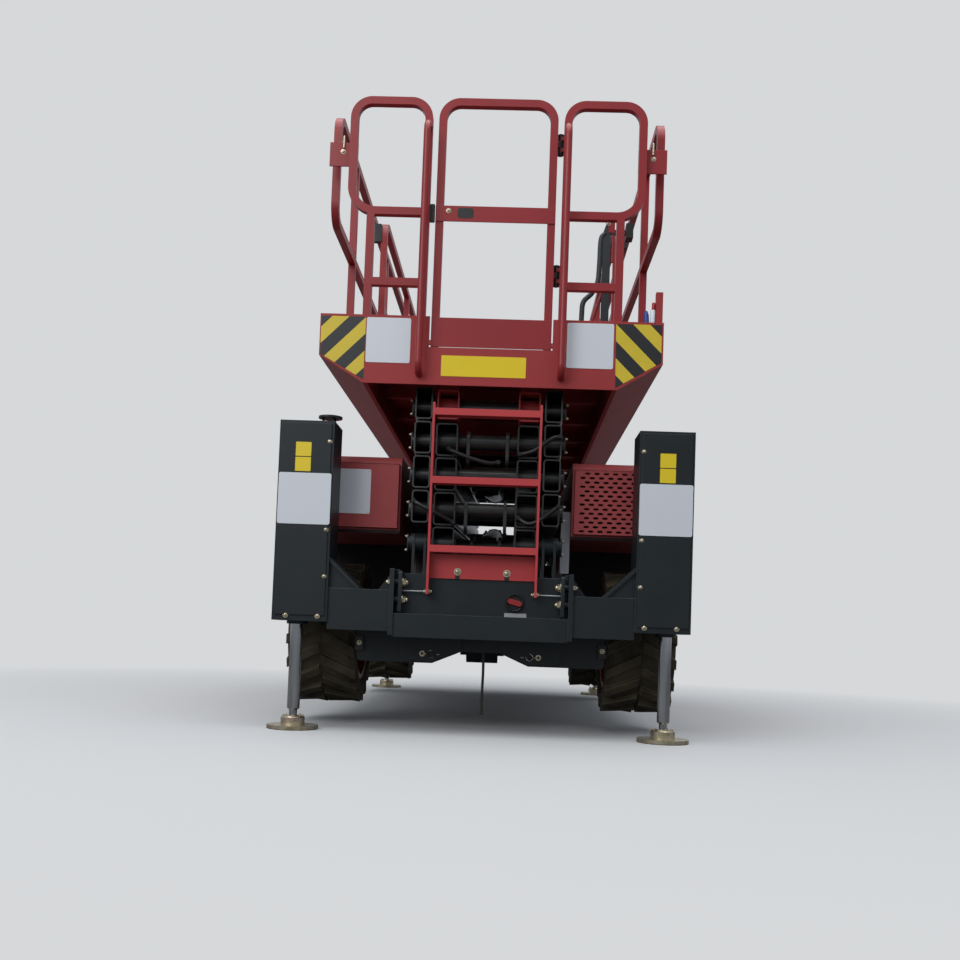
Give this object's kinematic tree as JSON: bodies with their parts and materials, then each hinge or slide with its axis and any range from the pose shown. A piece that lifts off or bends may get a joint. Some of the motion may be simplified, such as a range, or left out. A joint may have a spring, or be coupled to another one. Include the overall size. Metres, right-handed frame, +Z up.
{
  "type": "scissor lift",
  "caption": "Rough-terrain scissor lift standing on its levelling jacks, platform stowed, with a roll-out deck, an entry gate and a folding ladder end.",
  "frame": {"origin": "on the ground, under the middle of the machine", "axes": "+Z up, +X to the right seen from the ladder end, +Y along the machine away from the ladder end"},
  "size_m": [1.849, 3.925, 2.858],
  "materials": {
    "anthracite_paint": "satin anthracite paint",
    "red_paint": "gloss dark red paint",
    "black_paint": "satin black paint with grease and dust",
    "chrome_rod": "hard chrome plated steel",
    "tyre_rubber": "dusty rubber",
    "cast_block": "cast iron, dark",
    "control_plastic": "dark grey powder coat",
    "isolator_plastic": "black ring with a red handle",
    "strap_rubber": "conductive rubber strap"
  },
  "bodies": {
    "root": {"chassis_frame": "anthracite_paint", "outrigger_near": "anthracite_paint", "outrigger_far": "anthracite_paint", "axle_near": "anthracite_paint", "axle_far": "anthracite_paint", "hood_left": "red_paint", "hood_right": "red_paint", "engine_grille": "red_paint", "engine_block": "cast_block", "ladder": "red_paint", "battery_isolator": "isolator_plastic", "earth_strap": "strap_rubber"},
    "arms_inner_1": {"arm_inner_1": "black_paint"},
    "arms_outer_1": {"arm_outer_1": "black_paint"},
    "arms_inner_2": {"arm_inner_2": "black_paint"},
    "arms_outer_2": {"arm_outer_2": "black_paint"},
    "arms_inner_3": {"arm_inner_3": "black_paint"},
    "arms_outer_3": {"arm_outer_3": "black_paint"},
    "arms_inner_4": {"arm_inner_4": "black_paint"},
    "arms_outer_4": {"arm_outer_4": "black_paint"},
    "cylinder_barrel_1": {"cylinder_barrel_1": "black_paint"},
    "cylinder_rod_1": {"cylinder_rod_1": "chrome_rod"},
    "cylinder_barrel_2": {"cylinder_barrel_2": "black_paint"},
    "cylinder_rod_2": {"cylinder_rod_2": "chrome_rod"},
    "platform": {"platform_frame": "red_paint", "front_rails": "red_paint", "side_rail_left": "red_paint", "side_rail_right": "red_paint", "grab_handle_left": "red_paint", "grab_handle_right": "red_paint", "control_stand": "control_plastic"},
    "roll_out_deck": {"roll_out_deck": "red_paint"},
    "gate": {"gate": "red_paint"},
    "jack_near_left": {"jack_leg_near_left": "chrome_rod"},
    "wheel_near_left": {"tyre_near_left": "tyre_rubber", "rim_near_left": "red_paint"},
    "jack_near_right": {"jack_leg_near_right": "chrome_rod"},
    "wheel_near_right": {"tyre_near_right": "tyre_rubber", "rim_near_right": "red_paint"},
    "jack_far_left": {"jack_leg_far_left": "chrome_rod"},
    "wheel_far_left": {"tyre_far_left": "tyre_rubber", "rim_far_left": "red_paint"},
    "jack_far_right": {"jack_leg_far_right": "chrome_rod"},
    "wheel_far_right": {"tyre_far_right": "tyre_rubber", "rim_far_right": "red_paint"},
    "knuckle_left": {"knuckle_left": "anthracite_paint"},
    "knuckle_right": {"knuckle_right": "anthracite_paint"}
  },
  "joints": [
    {"name": "lift", "type": "hinge", "parent": "root", "child": "arms_inner_1", "pos_m": [0, -1.67, 0.85], "axis": [1, 0, 0], "range_deg": [0, 45]},
    {"name": "scissor_outer_1", "type": "hinge", "parent": "arms_inner_1", "child": "arms_outer_1", "pos_m": [0, 0, 0.92875], "axis": [1, 0, 0], "range_deg": [-91, 1]},
    {"name": "scissor_inner_2", "type": "hinge", "parent": "arms_outer_1", "child": "arms_inner_2", "pos_m": [0, -1.67, 1.0075], "axis": [1, 0, 0], "range_deg": [-1, 91]},
    {"name": "scissor_outer_2", "type": "hinge", "parent": "arms_inner_2", "child": "arms_outer_2", "pos_m": [0, 0, 1.08625], "axis": [1, 0, 0], "range_deg": [-91, 1]},
    {"name": "scissor_inner_3", "type": "hinge", "parent": "arms_outer_2", "child": "arms_inner_3", "pos_m": [0, -1.67, 1.165], "axis": [1, 0, 0], "range_deg": [-1, 91]},
    {"name": "scissor_outer_3", "type": "hinge", "parent": "arms_inner_3", "child": "arms_outer_3", "pos_m": [0, 0, 1.24375], "axis": [1, 0, 0], "range_deg": [-91, 1]},
    {"name": "scissor_inner_4", "type": "hinge", "parent": "arms_outer_3", "child": "arms_inner_4", "pos_m": [0, -1.67, 1.3225], "axis": [1, 0, 0], "range_deg": [-1, 91]},
    {"name": "scissor_outer_4", "type": "hinge", "parent": "arms_inner_4", "child": "arms_outer_4", "pos_m": [0, 0, 1.40125], "axis": [1, 0, 0], "range_deg": [-91, 1]},
    {"name": "platform_pivot", "type": "hinge", "parent": "arms_outer_4", "child": "platform", "pos_m": [0, -1.67, 1.48], "axis": [1, 0, 0], "range_deg": [-1, 46]},
    {"name": "cylinder_foot_1", "type": "hinge", "parent": "arms_inner_1", "child": "cylinder_barrel_1", "pos_m": [0, -1.29856, 0.86752], "axis": [1, 0, 0], "range_deg": [-1, 18]},
    {"name": "cylinder_stroke_1", "type": "slide", "parent": "cylinder_barrel_1", "child": "cylinder_rod_1", "axis": [0, 0.9942, 0.1072], "range_m": [0, 2.14]},
    {"name": "cylinder_foot_2", "type": "hinge", "parent": "arms_inner_3", "child": "cylinder_barrel_2", "pos_m": [0, -1.29856, 1.18252], "axis": [1, 0, 0], "range_deg": [-1, 18]},
    {"name": "cylinder_stroke_2", "type": "slide", "parent": "cylinder_barrel_2", "child": "cylinder_rod_2", "axis": [0, 0.9942, 0.1072], "range_m": [0, 2.14]},
    {"name": "deck_slide", "type": "slide", "parent": "platform", "child": "roll_out_deck", "axis": [0, 1, 0], "range_m": [0, 1]},
    {"name": "gate_hinge", "type": "hinge", "parent": "platform", "child": "gate", "pos_m": [0.283, -1.812, 2.3], "axis": [0, 0, -1], "range_deg": [0, 90]},
    {"name": "jack_near_left", "type": "slide", "parent": "root", "child": "jack_near_left", "axis": [0, 0, 1], "range_m": [0, 0.36]},
    {"name": "jack_near_right", "type": "slide", "parent": "root", "child": "jack_near_right", "axis": [0, 0, 1], "range_m": [0, 0.36]},
    {"name": "jack_far_left", "type": "slide", "parent": "root", "child": "jack_far_left", "axis": [0, 0, 1], "range_m": [0, 0.36]},
    {"name": "jack_far_right", "type": "slide", "parent": "root", "child": "jack_far_right", "axis": [0, 0, 1], "range_m": [0, 0.36]},
    {"name": "steer_left", "type": "hinge", "parent": "root", "child": "knuckle_left", "pos_m": [-0.59, 1.3, 0.43], "axis": [0, 0, 1], "range_deg": [-22, 22]},
    {"name": "steer_right", "type": "hinge", "parent": "root", "child": "knuckle_right", "pos_m": [0.59, 1.3, 0.43], "axis": [0, 0, 1], "range_deg": [-22, 22]},
    {"name": "wheel_near_left", "type": "hinge", "parent": "root", "child": "wheel_near_left", "pos_m": [-0.735, -1.35, 0.43], "axis": [1, 0, 0], "continuous": true},
    {"name": "wheel_near_right", "type": "hinge", "parent": "root", "child": "wheel_near_right", "pos_m": [0.735, -1.35, 0.43], "axis": [1, 0, 0], "continuous": true},
    {"name": "wheel_far_left", "type": "hinge", "parent": "knuckle_left", "child": "wheel_far_left", "pos_m": [-0.735, 1.3, 0.43], "axis": [1, 0, 0], "continuous": true},
    {"name": "wheel_far_right", "type": "hinge", "parent": "knuckle_right", "child": "wheel_far_right", "pos_m": [0.735, 1.3, 0.43], "axis": [1, 0, 0], "continuous": true}
  ],
  "couplings": [
    {"joint": "scissor_outer_1", "follows": "lift", "ratio": -2},
    {"joint": "scissor_inner_2", "follows": "lift", "ratio": 2},
    {"joint": "scissor_outer_2", "follows": "lift", "ratio": -2},
    {"joint": "scissor_inner_3", "follows": "lift", "ratio": 2},
    {"joint": "scissor_outer_3", "follows": "lift", "ratio": -2},
    {"joint": "scissor_inner_4", "follows": "lift", "ratio": 2},
    {"joint": "scissor_outer_4", "follows": "lift", "ratio": -2},
    {"joint": "platform_pivot", "follows": "lift", "ratio": 1},
    {"joint": "cylinder_foot_1", "follows": "lift", "ratio": 0.38095},
    {"joint": "cylinder_stroke_1", "follows": "lift", "m_per_rad": 2.6985},
    {"joint": "cylinder_foot_2", "follows": "lift", "ratio": 0.38095},
    {"joint": "cylinder_stroke_2", "follows": "lift", "m_per_rad": 2.6985},
    {"joint": "steer_right", "follows": "steer_left", "ratio": 1}
  ]
}
